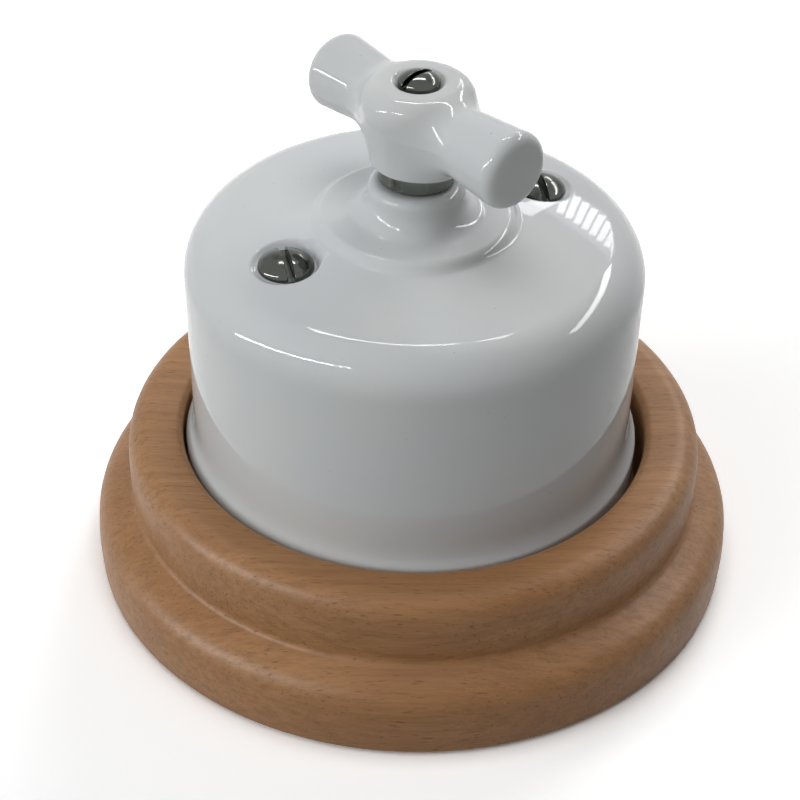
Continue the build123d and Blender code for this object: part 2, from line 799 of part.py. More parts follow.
with BuildPart() as turn_knob:
    with BuildSketch(Plane.YZ) as boss_profile:
        with BuildLine():
            Line((0, knob_foot), (boss_foot_radius, knob_foot))
            ThreePointArc(
                (boss_foot_radius, knob_foot),
                ((boss_foot_radius + boss_top_radius) / 2 - knob_boss_hollow, (knob_foot + knob_top) / 2),
                (boss_top_radius, knob_top),
            )
            Polyline((boss_top_radius, knob_top), (0, knob_top), (0, knob_foot))
        make_face()
        round_corner(boss_profile, boss_foot_radius, knob_foot, knob_boss_foot_round)
        round_corner(boss_profile, boss_top_radius, knob_top, knob_boss_top_round)
    revolve(axis=Axis.Z)
    with BuildSketch(Plane.XZ) as arm_profile:
        with BuildLine():
            Polyline(
                (-knob_short_arm, arm_level),
                (-knob_short_arm, arm_level + arm_end_radius),
                (0, arm_level + arm_root_radius),
                (knob_long_arm, arm_level + arm_end_radius),
                (knob_long_arm, arm_level),
                (-knob_short_arm, arm_level),
            )
        make_face()
        round_corner(arm_profile, -knob_short_arm, arm_level + arm_end_radius, knob_arm_end_round)
        round_corner(arm_profile, knob_long_arm, arm_level + arm_end_radius, knob_arm_end_round)
    revolve(axis=arm_axis)
    webs = turn_knob.edges().filter_by(GeomType.BSPLINE)
    fillet(webs, knob_web_round)
    with Locations(Plane.XY.offset(knob_top)):
        CounterBoreHole(
            knob_screw_diameter / 2 + screw_hole_gap, knob_screw_recess_diameter / 2,
            knob_screw_recess_depth,
        )
    with BuildSketch(Plane.XY.offset(knob_foot)):
        flatted_circle(spindle_diameter + 2 * drive_gap, spindle_flat_width + 2 * drive_gap)
    extrude(amount=knob_socket_depth, mode=Mode.SUBTRACT)
write(turn_knob, "turn_knob")

knob_screw_part = slotted_screw(
    knob_screw_head_diameter, knob_screw_head_edge, knob_screw_head_dome, knob_screw_diameter,
    knob_seat - spindle_top + knob_screw_reach, knob_screw_slot_width,
)
with BuildPart() as knob_screw:
    with Locations((0, 0, knob_seat)):
        add(knob_screw_part, rotation=(0, 0, knob_screw_slot_angle))
write(knob_screw, "knob_screw")
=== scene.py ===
# %% [markdown]
# # A porcelain rotary light switch
#
# This lesson dresses a switch that is already built as solids: a domed porcelain
# cover with a T-shaped turn knob, standing in a turned beech base. The solids give
# the sizes and the moving bodies. Here each visible piece gets the soft edges, the
# glaze, the grain and the plating that the real one shows.
#
# The solids come in first and stay where they are. Everything below is placed in
# the same frame: the origin lies on the spindle's axis in the plane of the back
# face, and +Z points away from the wall.

import json
from math import cos, pi, radians, sin, tan

import bmesh
import bpy
import numpy as np
from mathutils import Matrix, Vector

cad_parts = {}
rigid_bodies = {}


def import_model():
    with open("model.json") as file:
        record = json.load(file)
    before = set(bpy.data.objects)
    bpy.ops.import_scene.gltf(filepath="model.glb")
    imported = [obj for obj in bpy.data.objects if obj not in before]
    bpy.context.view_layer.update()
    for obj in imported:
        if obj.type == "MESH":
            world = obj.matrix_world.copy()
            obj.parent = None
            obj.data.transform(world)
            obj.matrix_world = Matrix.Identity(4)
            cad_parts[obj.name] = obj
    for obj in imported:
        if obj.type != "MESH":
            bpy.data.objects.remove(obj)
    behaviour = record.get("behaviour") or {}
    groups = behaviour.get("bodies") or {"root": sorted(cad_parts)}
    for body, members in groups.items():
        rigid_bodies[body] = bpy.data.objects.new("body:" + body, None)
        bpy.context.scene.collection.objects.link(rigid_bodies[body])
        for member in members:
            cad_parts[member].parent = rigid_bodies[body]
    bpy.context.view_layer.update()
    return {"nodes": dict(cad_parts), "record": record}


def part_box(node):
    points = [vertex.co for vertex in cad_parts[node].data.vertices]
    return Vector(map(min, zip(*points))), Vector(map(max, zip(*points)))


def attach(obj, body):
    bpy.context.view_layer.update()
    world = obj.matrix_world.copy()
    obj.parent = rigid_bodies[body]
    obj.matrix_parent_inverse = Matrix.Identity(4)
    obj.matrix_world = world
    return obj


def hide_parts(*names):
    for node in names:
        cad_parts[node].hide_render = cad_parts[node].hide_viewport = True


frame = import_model()
nodes = frame["nodes"]

# %% [markdown]
# ## Sizes
#
# The shapes are worked out in millimetres, as a turner or a potter would state
# them, and turned into Blender's metres when a mesh is made. Whatever the solids
# already say, such as heights and outer diameters, is read from their boxes, so the
# dressed pieces follow the solids if those change.

# %% Read the driving levels from the solids
mm = 0.001


def box_of(node):
    """Lowest and highest corner of a solid, in millimetres."""
    low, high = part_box(node)
    return np.array(low) / mm, np.array(high) / mm


wood_low, wood_high = box_of("wooden_base")
cover_low, cover_high = box_of("porcelain_cover")
collar_low, collar_high = box_of("knob_collar")
knob_low, knob_high = box_of("turn_knob")
print("beech base", wood_high - wood_low, "cover", cover_high - cover_low)

# %% [markdown]
# ## Camera
#
# The photograph looks down at the switch from about 37 degrees, past the knob's
# right arm. The distance is short, about a third of a metre, so the perspective is
# strong and has to be matched, not only the angle. The camera is set by where it
# aims, from which side and how far away it stands. Its lens follows from a focal
# length in pixels, which was fitted to the photograph together with the rest.

# %% Place the camera
camera_side = radians(47.77)
camera_height = radians(37.48)
camera_roll = radians(1.17)
camera_distance = 322.6
camera_aim = Vector((-1.131, -1.247, 25.311))
sensor_width = 36.0
focal_pixels = 2184.75
image_pixels = 800

to_camera = Vector((
    sin(camera_side) * cos(camera_height),
    -cos(camera_side) * cos(camera_height),
    sin(camera_height),
))
level_right = Vector((cos(camera_side), sin(camera_side), 0))
level_up = to_camera.cross(level_right)
view_right = cos(camera_roll) * level_right + sin(camera_roll) * level_up
view_up = -sin(camera_roll) * level_right + cos(camera_roll) * level_up


def new_object(name, data):
    """Object of this mesh, camera or lamp, put into the scene at the origin."""
    made = bpy.data.objects.new(name, data)
    bpy.context.collection.objects.link(made)
    return made


def placed_at(point, *axes):
    """Matrix that moves an object to a point in metres and points its X, Y and Z along the axes."""
    return Matrix.Translation(point) @ Matrix(axes).transposed().to_4x4()


camera_data = bpy.data.cameras.new("camera")
camera_data.sensor_width = sensor_width
camera_data.lens = sensor_width * focal_pixels / image_pixels
camera_data.clip_start = 0.01
camera = new_object("camera", camera_data)
camera_point = (camera_aim + to_camera * camera_distance) * mm
camera.matrix_world = placed_at(camera_point, view_right, view_up, to_camera)
bpy.context.scene.camera = camera
print("lens", round(camera_data.lens, 2), "mm")

# %% [markdown]
# ## Profiles
#
# Nearly everything here is turned, on a lathe or on a potter's wheel, so the first
# tool is a profile: a list of corners, each with the radius that its edge is
# rounded to. Rounding in the profile costs a few points and gives an exact arc,
# where a Bevel modifier would have to guess which edges to take.

# %% Helper for rounded profiles
def rounded(corners, steps=9):
    """Outline through these corners, given as rows of x, y and the corner's radius.

    At a corner P with unit legs a and b and half the angle between them h, the arc is
    drawn about P + (a + b) / |a + b| * radius / sin(h), and meets each leg at
    radius / tan(h) from P. The first and the last corner stay sharp.
    """
    corners = np.array(corners, float)
    points = corners[:, :2]
    outline = [points[:1]]
    share = np.linspace(0, 1, steps)[:, None]
    for before, here, after, radius in zip(points, points[1:], points[2:], corners[1:, 2]):
        if radius == 0:
            outline.append(here[None])
            continue
        a = (before - here) / np.linalg.norm(before - here)
        b = (after - here) / np.linalg.norm(after - here)
        half = np.arccos(np.clip(a @ b, -1, 1)) / 2
        middle = here + (a + b) / np.linalg.norm(a + b) * radius / sin(half)
        start = here + a * radius / tan(half) - middle
        end = here + b * radius / tan(half) - middle
        sweep = pi - 2 * half
        arc = (np.sin((1 - share) * sweep) * start + np.sin(share * sweep) * end) / sin(sweep)
        outline.append(middle + arc)
    outline.append(points[-1:])
    return np.concatenate(outline)


def bulged(start, end, sag, steps=13):
    """Points from start to end on a shallow arc: the chord plus sag * (1 - (2t - 1)^2) sideways."""
    share = np.linspace(0, 1, steps)[:, None]
    start, end = np.array(start, float), np.array(end, float)
    chord = end - start
    sideways = np.array([chord[1], -chord[0]]) / np.linalg.norm(chord)
    return start + share * chord + sideways * sag * (1 - (2 * share - 1) ** 2)


def sharp(points):
    """Profile points with no rounding of their own."""
    return [(r, z, 0.0) for r, z in points]


# %% [markdown]
# ## Surfaces from grids
#
# A surface is a grid of points: one index runs along the profile, the other round
# the axis. The faces follow from the grid's shape alone, so one function serves all
# pieces. Where a whole row falls on one point, as on an axis, the doubled points
# are merged, which closes the pole.

# %% Helpers for grids and meshes
def lathe(profile, angles, centre=(0.0, 0.0)):
    """Grid of points (x0 + r cos a, y0 + r sin a, z) for each profile point and angle."""
    r, z = profile[:, :1], profile[:, 1:]
    spread = np.ones_like(angles)
    return np.stack(
        [centre[0] + r * np.cos(angles), centre[1] + r * np.sin(angles), z * spread], axis=-1
    )


def even_angles(count):
    """Angles of a whole turn in equal steps, without the last, which is the first again."""
    return np.linspace(0, 2 * pi, count, endpoint=False)


def grid_faces(rows, columns, close_columns=True):
    """Faces between neighbouring grid points, wrapping round from last column to first if closed."""
    row = np.arange(rows - 1)[:, None]
    column = np.arange(columns if close_columns else columns - 1)[None, :]
    next_column = (column + 1) % columns
    corners = [(row, column), (row, next_column), (row + 1, next_column), (row + 1, column)]
    return np.stack([r * columns + c for r, c in corners], axis=-1).reshape(-1, 4)


doubled_within = 0.0005


def mesh_of(name, points, faces, turn_outwards=False):
    """Mesh of these points, in millimetres, with doubled points merged."""
    mesh = bpy.data.meshes.new(name)
    mesh.vertices.add(len(points))
    mesh.vertices.foreach_set("co", (points * mm).ravel())
    mesh.loops.add(faces.size)
    mesh.loops.foreach_set("vertex_index", faces.ravel())
    mesh.polygons.add(len(faces))
    mesh.polygons.foreach_set("loop_start", np.arange(0, faces.size, faces.shape[1]))
    mesh.update(calc_edges=True)
    work = bmesh.new()
    work.from_mesh(mesh)
    bmesh.ops.remove_doubles(work, verts=work.verts, dist=doubled_within * mm)
    if turn_outwards:
        bmesh.ops.recalc_face_normals(work, faces=work.faces)
    work.to_mesh(mesh)
    work.free()
    return mesh


def grid_mesh(name, grid, turned_over=False):
    """Mesh of a grid of points, with its faces the other way round if turned over."""
    faces = grid_faces(*grid.shape[:2])
    return mesh_of(name, grid.reshape(-1, 3), faces[:, ::-1] if turned_over else faces)


def turned_cutter(profile, centre, count=64):
    """Closed turned solid about a vertical axis, whose profile starts and ends on the axis."""
    return grid_mesh("cutter", lathe(np.array(profile, float), even_angles(count), centre))


# %% [markdown]
# ## Pieces
#
# A piece is a mesh with a finish. It rides on one of the moving bodies and takes the
# place of the solids that it dresses. Holes and sockets are cut with a Boolean, whose
# exact solver gives clean edges on closed meshes. Smooth shading breaks where two
# faces meet at a steep angle, so the sharp edges stay crisp.

# %% Helpers for pieces
def shaded(mesh, crease=38.0):
    """Smooth shading that breaks only where faces meet at more than the crease angle."""
    mesh.shade_smooth()
    mesh.set_sharp_from_angle(angle=radians(crease))
    return mesh


def add_piece(name, mesh, body, slot, finish, *replaced):
    """Show a mesh as a piece that rides on a body and stands for these solids."""
    piece = new_object(name, shaded(mesh))
    piece.data.materials.append(finish)
    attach(piece, body)
    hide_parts(*replaced)
    print(f"{name}: {len(mesh.polygons)} faces")


def cut(mesh, *cutters):
    """The mesh with closed cutter meshes taken out of it."""
    body = new_object("cut_body", mesh)
    tools = [new_object("cutter", cutter) for cutter in cutters]
    for tool in tools:
        step = body.modifiers.new("cut", "BOOLEAN")
        step.operation = "DIFFERENCE"
        step.solver = "EXACT"
        step.object = tool
    depsgraph = bpy.context.evaluated_depsgraph_get()
    result = bpy.data.meshes.new_from_object(body.evaluated_get(depsgraph))
    for helper in [body, *tools]:
        bpy.data.objects.remove(helper)
    return result


# %% [markdown]
# ## Shader arithmetic
#
# A procedural finish is arithmetic on patterns: a mask times a colour, one minus
# a noise. Written as nodes and links that arithmetic is long and hard to read. The
# small class below wraps a socket, so that ordinary operators add the Math nodes,
# and one method of the finish adds any other node.

# %% Wrap shader sockets
class Value:
    """One output socket of a finish. Operators on it add Math nodes."""

    def __init__(self, finish, socket):
        self.finish = finish
        self.socket = socket

    def math(self, operation, first, second):
        return self.finish.node("Math", {"operation": operation}, {0: first, 1: second})

    def __add__(self, other):
        return self.math("ADD", self, other)

    def __radd__(self, other):
        return self.math("ADD", other, self)

    def __sub__(self, other):
        return self.math("SUBTRACT", self, other)

    def __rsub__(self, other):
        return self.math("SUBTRACT", other, self)

    def __mul__(self, other):
        return self.math("MULTIPLY", self, other)

    def __rmul__(self, other):
        return self.math("MULTIPLY", other, self)

    def or_more(self, other):
        """The greater of this value and another."""
        return self.math("MAXIMUM", self, other)


class Finish:
    """A material, or the world, while its nodes are being made."""

    def __init__(self, name, kind="materials"):
        self.made = getattr(bpy.data, kind).new(name)
        self.made.use_nodes = True
        self.tree = self.made.node_tree
        self.tree.nodes.clear()

    def node(self, kind, settings=None, sockets=None, out=0):
        """Add a node, make its settings, fill its sockets with values or links, and give an output."""
        node = self.tree.nodes.new("ShaderNode" + kind)
        for name, setting in (settings or {}).items():
            setattr(node, name, setting)
        for name, value in (sockets or {}).items():
            if isinstance(value, Value):
                self.tree.links.new(value.socket, node.inputs[name])
            else:
                node.inputs[name].default_value = value
        return None if out is None else Value(self, node.outputs[out])

    def place(self, size=(1, 1, 1), turn=(0, 0, 0)):
        """Object coordinates in units of this many millimetres, turned by these degrees."""
        scale = tuple(1 / (s * mm) for s in size)
        point = self.node("TexCoord", out="Object")
        turned = self.node(
            "Mapping", {"vector_type": "TEXTURE"},
            {"Vector": point, "Rotation": tuple(radians(t) for t in turn)},
        )
        return self.node("Mapping", {}, {"Vector": turned, "Scale": scale})

    def noise(self, size, detail=3.0, roughness=0.5, turn=(0, 0, 0), distortion=0.0):
        """Noise from 0 to 1 whose lumps are about this many millimetres along each axis."""
        return self.node("TexNoise", {}, {
            "Vector": self.place(size, turn), "Scale": 1.0, "Detail": detail,
            "Roughness": roughness, "Distortion": distortion,
        })

    def between(self, value, low, high):
        """Smooth step of a value, from 0 at low to 1 at high."""
        return self.node("MapRange", {"interpolation_type": "SMOOTHSTEP"}, {
            "Value": value, "From Min": low, "From Max": high, "To Min": 0.0, "To Max": 1.0,
        })

    def mix(self, share, first, second):
        """Colour between first and second."""
        return self.node("Mix", {"data_type": "RGBA"}, {0: share, 6: first, 7: second}, out=2)

    def bump(self, height, depth, strength):
        """Normal of a surface that this pattern raises by up to depth millimetres."""
        return self.node("Bump", {}, {
            "Height": height, "Distance": depth * mm, "Strength": strength,
        })

    def end(self, **sockets):
        """Close the finish with a Principled shader whose sockets have these values."""
        named = {name.replace("_", " "): value for name, value in sockets.items()}
        self.show(self.node("BsdfPrincipled", {}, named))
        return self.made

    def show(self, shader, kind="Material"):
        """Lead a shader to the output of the material or the world."""
        self.node("Output" + kind, {}, {"Surface": shader}, out=None)
        print(f"{self.made.name}: {len(self.tree.nodes)} nodes")

    def seen(self):
        """1 for rays from the camera, from a mirroring surface or through glass, otherwise 0."""
        camera_ray, glossy_ray, clear_ray = (
            self.node("LightPath", out=f"Is {kind} Ray")
            for kind in ("Camera", "Glossy", "Transmission")
        )
        return camera_ray.or_more(glossy_ray.or_more(clear_ray))


def colour(red, green, blue):
    """Linear colour from screen values of 0 to 255."""
    screen = np.array([red, green, blue]) / 255
    linear = np.where(screen <= 0.04045, screen / 12.92, ((screen + 0.055) / 1.055) ** 2.4)
    return (*(float(c) for c in linear), 1.0)


# %% [markdown]
# ## Beech
#
# Steamed beech is a warm, even brown with short dark flecks, one to three
# millimetres long and hair-thin, that all lie along the grain. Broad growth bands
# drift through it. Solid noise, stretched along the grain, gives both: on the flat
# top it shows dashes, and where the turned edge cuts across the grain it shows
# dots, as real wood does.

# %% Make the beech finish
grain_turn = (0, 0, 47.8)
light_beech = colour(168, 123, 81)
warm_beech = colour(154, 109, 70)
streak_brown = colour(140, 99, 63)
line_tan = colour(184, 144, 102)
fleck_brown = colour(104, 66, 38)


def beech_finish():
    """Satin oiled beech whose grain runs level, from left to right in the photograph.

    The colours are laid over each other in turn: bands, streaks, fine lines, flecks.
    """
    wood = Finish("beech")
    bands = wood.noise((60, 7, 7), detail=3, distortion=0.6, turn=grain_turn)
    streaks = wood.noise((26, 0.9, 0.9), detail=4, roughness=0.65, turn=grain_turn)
    fleck_noise = wood.noise((2.2, 0.22, 0.30), detail=2, roughness=0.4, turn=grain_turn)
    fleck_patches = wood.noise((9, 6, 6), detail=2, turn=grain_turn)
    fine = wood.noise((5, 0.12, 0.12), detail=2, roughness=0.6, turn=grain_turn)
    flecks = wood.between(fleck_noise + (fleck_patches - 0.5) * 0.16, 0.63, 0.72)
    base = wood.mix(wood.between(bands, 0.30, 0.70), light_beech, warm_beech)
    base = wood.mix(wood.between(streaks, 0.35, 0.75), base, streak_brown)
    base = wood.mix(wood.between(fine, 0.45, 0.8) * 0.35, base, line_tan)
    base = wood.mix(flecks * 0.55, base, fleck_brown)
    height = (1 - flecks) * 0.6 + fine * 0.4
    return wood.end(
        Base_Color=base,
        Roughness=0.43 + flecks * 0.25 + (streaks - 0.5) * 0.12,
        Normal=wood.bump(height, 0.035, 0.4),
        Specular_IOR_Level=0.3,
    )


beech = beech_finish()

# %% [markdown]
# ## Glazed porcelain
#
# The body is white and matt, and the glaze over it is glass: a clear smooth coat. So
# the body's own gloss is off, and the coat alone mirrors. Its index of refraction is
# set low, until the glaze mirrors about as much of the white room as the real one
# does in the photograph. Real glaze is never quite flat. It lies in slow waves that
# bend the reflections a little, and here and there a speck of the kiln shows. The
# foot, which stood on the kiln shelf, is left bare and rougher.

# %% Make the porcelain finish
cool_white = colour(209, 212, 214)
warm_white = colour(212, 214, 213)
speck_brown = colour(120, 112, 100)
coat_index = 1.29
glaze_edge = 0.2


def porcelain_finish(name, bare_below=None):
    """White porcelain under clear glaze, bare up to a height in millimetres if one is given."""
    body = Finish(name)
    cloud = body.noise((22, 22, 22), detail=2)
    speck_noise = body.noise((0.55, 0.55, 0.55), detail=1, roughness=0.3)
    specks = body.between(speck_noise, 0.80, 0.84)
    tone = body.mix(body.between(cloud, 0.35, 0.65), cool_white, warm_white)
    waves = body.noise((7, 7, 7), detail=1) * 0.8 + body.noise((1.6, 1.6, 1.6), detail=1) * 0.2
    glaze = 1.0
    roughness = 0.16 + body.between(cloud, 0.3, 0.7) * 0.04
    if bare_below is not None:
        height = body.node("SeparateXYZ", {}, {"Vector": body.place()}, out="Z")
        uneven = height + (body.noise((3, 3, 3)) - 0.5) * 0.6
        glaze = body.between(uneven, bare_below - glaze_edge, bare_below + glaze_edge)
        roughness = 0.55 - glaze * 0.38
    return body.end(
        Base_Color=body.mix(specks * 0.35, tone, speck_brown),
        Roughness=roughness,
        Specular_IOR_Level=0.0,
        Coat_Weight=glaze,
        Coat_Roughness=0.03,
        Coat_IOR=coat_index,
        Normal=body.bump(waves, 0.030, 0.12),
    )


# The inner base is glazed from the cover's foot down to just above the recess floor.
bare_foot_below_cover = 6.2
glazed = porcelain_finish("glazed_porcelain")
bare_footed = porcelain_finish("bare_footed_porcelain", cover_low[2] - bare_foot_below_cover)

# %% [markdown]
# ## Metals and moulding
#
# The screws and the collar are nickel plated, with hair scratches from the
# screwdriver and the polishing. Polished plating shows hardly any colour but that of
# the room. This room is white, and the one in the photograph was darker, so the
# plating's own colour is a dark grey. The collar looks a little lighter and duller,
# so it has its own finish. The parts inside are plain steel, brass that has dulled in
# patches, a blued spring and a dark moulded rotor. One function makes each metal from
# its bright colour, its dull colour, how rough it is and how much of it is dull.

# %% Make the metal finishes
scratch_size = (6, 0.12, 0.12)
scratch_turn = (20, 35, 50)


def metal_finish(name, bright, dull, roughness, dullness):
    """Metal with dull patches and fine scratches."""
    metal = Finish(name)
    patches = metal.noise((2.6, 2.6, 2.6), detail=4, roughness=0.6)
    hair = metal.noise(scratch_size, detail=3, roughness=0.7, turn=scratch_turn)
    mask = metal.between(patches, 0.45, 0.75)
    return metal.end(
        Base_Color=metal.mix(mask * dullness, colour(*bright), colour(*dull)),
        Metallic=1.0,
        Roughness=roughness + mask * 0.12 + (hair - 0.5) * 0.10,
        Normal=metal.bump(hair, 0.004, 0.5),
    )


nickel = metal_finish("nickel", (84, 86, 82), (40, 40, 37), 0.09, 0.75)
collar_nickel = metal_finish("collar_nickel", (98, 101, 95), (80, 80, 75), 0.22, 0.3)
steel = metal_finish("steel", (178, 180, 182), (132, 130, 126), 0.30, 0.5)
brass = metal_finish("brass", (214, 178, 104), (150, 112, 62), 0.26, 0.6)
spring_steel = metal_finish("spring_steel", (86, 92, 108), (60, 56, 60), 0.28, 0.5)


# %% Make the moulding's finish
dark_bakelite = colour(52, 34, 26)
light_bakelite = colour(74, 48, 34)


def bakelite_finish():
    """Dark brown moulding with a faint swirl of its wood-flour filler."""
    moulding = Finish("bakelite")
    swirl = moulding.noise((4, 4, 1.2), detail=4, distortion=1.5)
    grit = moulding.noise((0.25, 0.25, 0.25), detail=2)
    return moulding.end(
        Base_Color=moulding.mix(moulding.between(swirl, 0.35, 0.7), dark_bakelite, light_bakelite),
        Roughness=0.30 + grit * 0.16,
        Normal=moulding.bump(grit, 0.01, 0.4),
    )


bakelite = bakelite_finish()

# %% [markdown]
# ## Dress the inner solids
#
# The pieces inside are plain turned, stamped and moulded shapes, and their solids
# are right as they are. Each gets the finish of its material slot, which the
# record names for every node.

# %% Give every carried-over solid its finish
slot_finish = {
    "beech": beech, "porcelain": bare_footed, "nickel": nickel, "steel": steel,
    "brass": brass, "spring_steel": spring_steel, "bakelite": bakelite,
}
for part in frame["record"]["subparts"]:
    solid = nodes[part["node"]]
    for place in solid.material_slots:
        place.material = slot_finish[part["material_slot"]]

# %% [markdown]
# ## The turned base
#
# The base is turned from one board: a rounded lower step, a groove, a rounded
# upper step and a flat top that slopes a hair towards the recess. The turner's
# sandpaper softened every edge, so each corner of the profile has its own radius.
# Its axis lies a little off the spindle's, which leaves the uneven dark gap round
# the cover.

# %% Work out the base's profile
# The rounding of the top's outer corner takes this much off the height of the profile.
top_rounding_loss = 0.214
wood_centre = (wood_low[:2] + wood_high[:2]) / 2
wood_radius = (wood_high[0] - wood_low[0]) / 2
wood_top = wood_high[2] + top_rounding_loss
side_bulge = 0.25
side_height = 9.8
groove_radius = 42.3
groove_height = 12.4
upper_bulge = 0.35
top_slope = 0.5
recess_radius = 34.2
recess_floor = 9.0
cable_hole_radius = 16.0
foot_round = 1.2
side_round = 4.4
groove_round = 1.2
top_round = 3.4
lip_round = 1.3
hole_round = 0.4

side_radius = wood_radius - side_bulge
upper_radius = groove_radius - upper_bulge
seam = (cable_hole_radius + 4.0, 0.0, 0.0)

# Only the middle of each bulged line is kept, which leaves room for the roundings.
side_line = bulged((side_radius, 0.0), (side_radius, side_height), side_bulge)[5:-6]
upper_line = bulged((upper_radius, groove_height), (upper_radius, wood_top), upper_bulge)[4:-5]
base_profile = rounded([
    seam,
    (side_radius, 0.0, foot_round), *sharp(side_line),
    (side_radius, side_height, side_round),
    (upper_radius, groove_height, groove_round), *sharp(upper_line),
    (upper_radius, wood_top, top_round),
    (recess_radius, wood_top - top_slope, lip_round),
    (recess_radius, recess_floor, hole_round),
    (cable_hole_radius, recess_floor, hole_round),
    (cable_hole_radius, 0.0, hole_round),
    seam,
])
print("base profile:", len(base_profile), "points, top at", round(base_profile[:, 1].max(), 3))

# %% Turn the base and drill it
base_steps = 420
wall_screw_reach = 30.0
wall_screw_radius = 2.25
wall_head_radius = 4.0
pilot_radius = 1.5
pilot_reach = 24.0
pilot_angle = 45.0
pilot_depth = 6.5

# Cutters reach this far past a surface where they only have to break through it.
spare = 0.2


def countersunk(centre):
    """Drill for a countersunk screw from the recess floor through the back."""
    slope = wall_head_radius - wall_screw_radius
    return turned_cutter([
        (0, -spare), (wall_screw_radius, -spare), (wall_screw_radius, recess_floor - slope),
        (wall_head_radius + spare, recess_floor + spare), (0, recess_floor + spare),
    ], centre)


def straight_drill(radius, low, high, centre, count=64):
    """Drill for a plain round hole between two heights."""
    return turned_cutter([(0, low), (radius, low), (radius, high), (0, high)], centre, count)


def opposite(reach, angle, centre=(0.0, 0.0)):
    """The two points at this distance from a centre, at this angle and across from it."""
    offset = reach * np.array([cos(radians(angle)), sin(radians(angle))])
    return [np.array(centre) + offset, np.array(centre) - offset]


drills = [countersunk(place) for place in opposite(wall_screw_reach, 0, wood_centre)]
drills += [
    straight_drill(pilot_radius, recess_floor - pilot_depth, recess_floor + spare, place)
    for place in opposite(pilot_reach, pilot_angle)
]
base_mesh = grid_mesh("wooden_base", lathe(base_profile, even_angles(base_steps), wood_centre))
add_piece("turned_base", cut(base_mesh, *drills), "switch_body", "beech", beech, "wooden_base")

# %% [markdown]
# ## The porcelain cover
#
# The cover is a cup turned upside down: a flared rim, a wall, a softly rounded
# edge, a shallow dome, a raised disc and a hub for the knob. Two shallow wells
# hold the screw heads. A well is not turned, so it is added to the grid of the
# turned surface as a smooth dip. The grid's columns crowd together near the wells,
# where the form changes fast, and stand wide apart elsewhere.

# %% State the cover's sizes
foot = cover_low[2]
hub_top = cover_high[2]
rim_spread = 0.3
rim_radius = cover_high[0] + rim_spread
rim_height = 5.2
cove_height = 5.0
cove_bend = 3.4
waist_radius = 32.05
top_radius = 32.5
edge_level = foot + 38.2
edge_round = 6.2
dome_radius = 131.0
wall = 3.6
inner_radius = waist_radius - wall
ceiling = foot + 36.0
disc_foot_radius = 14.4
disc_edge_radius = 13.3
disc_top = foot + 42.6
hub_radius = 6.8
hub_bore = 4.2
well_reach = 20.4
well_angle = 78.8
well_floor_radius = 4.05
well_mouth_radius = 5.1
well_depth = 1.1


def dome(r):
    """Height of the shallow dome: a circle of the dome radius through the outer edge."""
    return edge_level + (top_radius**2 - r**2) / (2 * dome_radius)


well_floor = dome(well_reach) - well_depth
print("cover", round(hub_top - foot, 2), "high, well floors at", round(well_floor - foot, 2))

# %% Work out the cover's profile
cove_share = np.linspace(0, 1, 14)[1:]
cove_line = np.stack([
    waist_radius + (rim_radius - waist_radius) * (1 - cove_share) ** cove_bend,
    foot + rim_height + cove_height * cove_share,
], axis=-1)

# The dome's points leave room for the arc of the edge and for that of the disc's foot.
edge_arc_width = 5.05
disc_arc_width = 1.9
dome_r = np.linspace(top_radius - edge_arc_width, disc_foot_radius + disc_arc_width, 74)
dome_line = np.stack([dome_r, dome(dome_r)], axis=-1)
seam = (inner_radius + 0.4, foot, 0.0)
cover_profile = rounded([
    seam,
    (rim_radius, foot, 0.5),
    (rim_radius, foot + rim_height, 1.1), *sharp(cove_line),
    (top_radius, edge_level, edge_round), *sharp(dome_line),
    (disc_foot_radius, dome(disc_foot_radius), 1.4),
    (disc_edge_radius, disc_top, 1.6),
    (hub_radius, disc_top, 3.0),
    (hub_radius, hub_top, 1.3),
    (hub_bore, hub_top, 0.35),
    (hub_bore, ceiling, 0.0),
    (inner_radius, ceiling, 3.0),
    (inner_radius, foot, 0.4),
    seam,
], steps=11)
print("cover profile:", len(cover_profile), "points")


# %% Sink the wells and make the cover
def crowded_angles(count, middles, width, crowding):
    """Angles of a whole turn that stand closer together near each of the middles.

    The density is 1 + crowding * exp(-(gap / width)^2), and the angles are read off its
    running sum at equal steps.
    """
    fine = np.linspace(0, 2 * pi, 7201)
    density = np.ones_like(fine)
    for middle in middles:
        gap = np.angle(np.exp(1j * (fine - middle)))
        density += crowding * np.exp(-((gap / width) ** 2))
    total = np.concatenate([[0], np.cumsum((density[1:] + density[:-1]) / 2)])
    return np.interp(np.linspace(0, total[-1], count, endpoint=False), total, fine)


def smooth_share(value, low, high):
    """0 below low, 1 above high, and 3t^2 - 2t^3 between."""
    t = np.clip((value - low) / (high - low), 0, 1)
    return t * t * (3 - 2 * t)


def sink_wells(grid, places):
    """Blend the top of the cover into a flat well floor round each place."""
    grid = grid.copy()
    on_top = grid[..., 2] > edge_level
    for place in places:
        away = np.hypot(grid[..., 0] - place[0], grid[..., 1] - place[1])
        sunk = 1 - smooth_share(away, well_floor_radius, well_mouth_radius)
        level = grid[..., 2] + (well_floor - grid[..., 2]) * sunk
        grid[..., 2] = np.where(on_top, level, grid[..., 2])
    return grid


well_places = opposite(well_reach, well_angle)
well_directions = [radians(well_angle), radians(well_angle) + pi]
cover_angles = crowded_angles(400, well_directions, width=0.26, crowding=4.5)
cover_mesh = grid_mesh("porcelain_cover", sink_wells(lathe(cover_profile, cover_angles), well_places))
screw_hole_radius = 2.2
screw_holes = [
    straight_drill(screw_hole_radius, ceiling - spare, hub_top, place, 48)
    for place in well_places
]
cover_mesh = cut(cover_mesh, *screw_holes)
add_piece("glazed_cover", cover_mesh, "switch_body", "porcelain", glazed, "porcelain_cover")

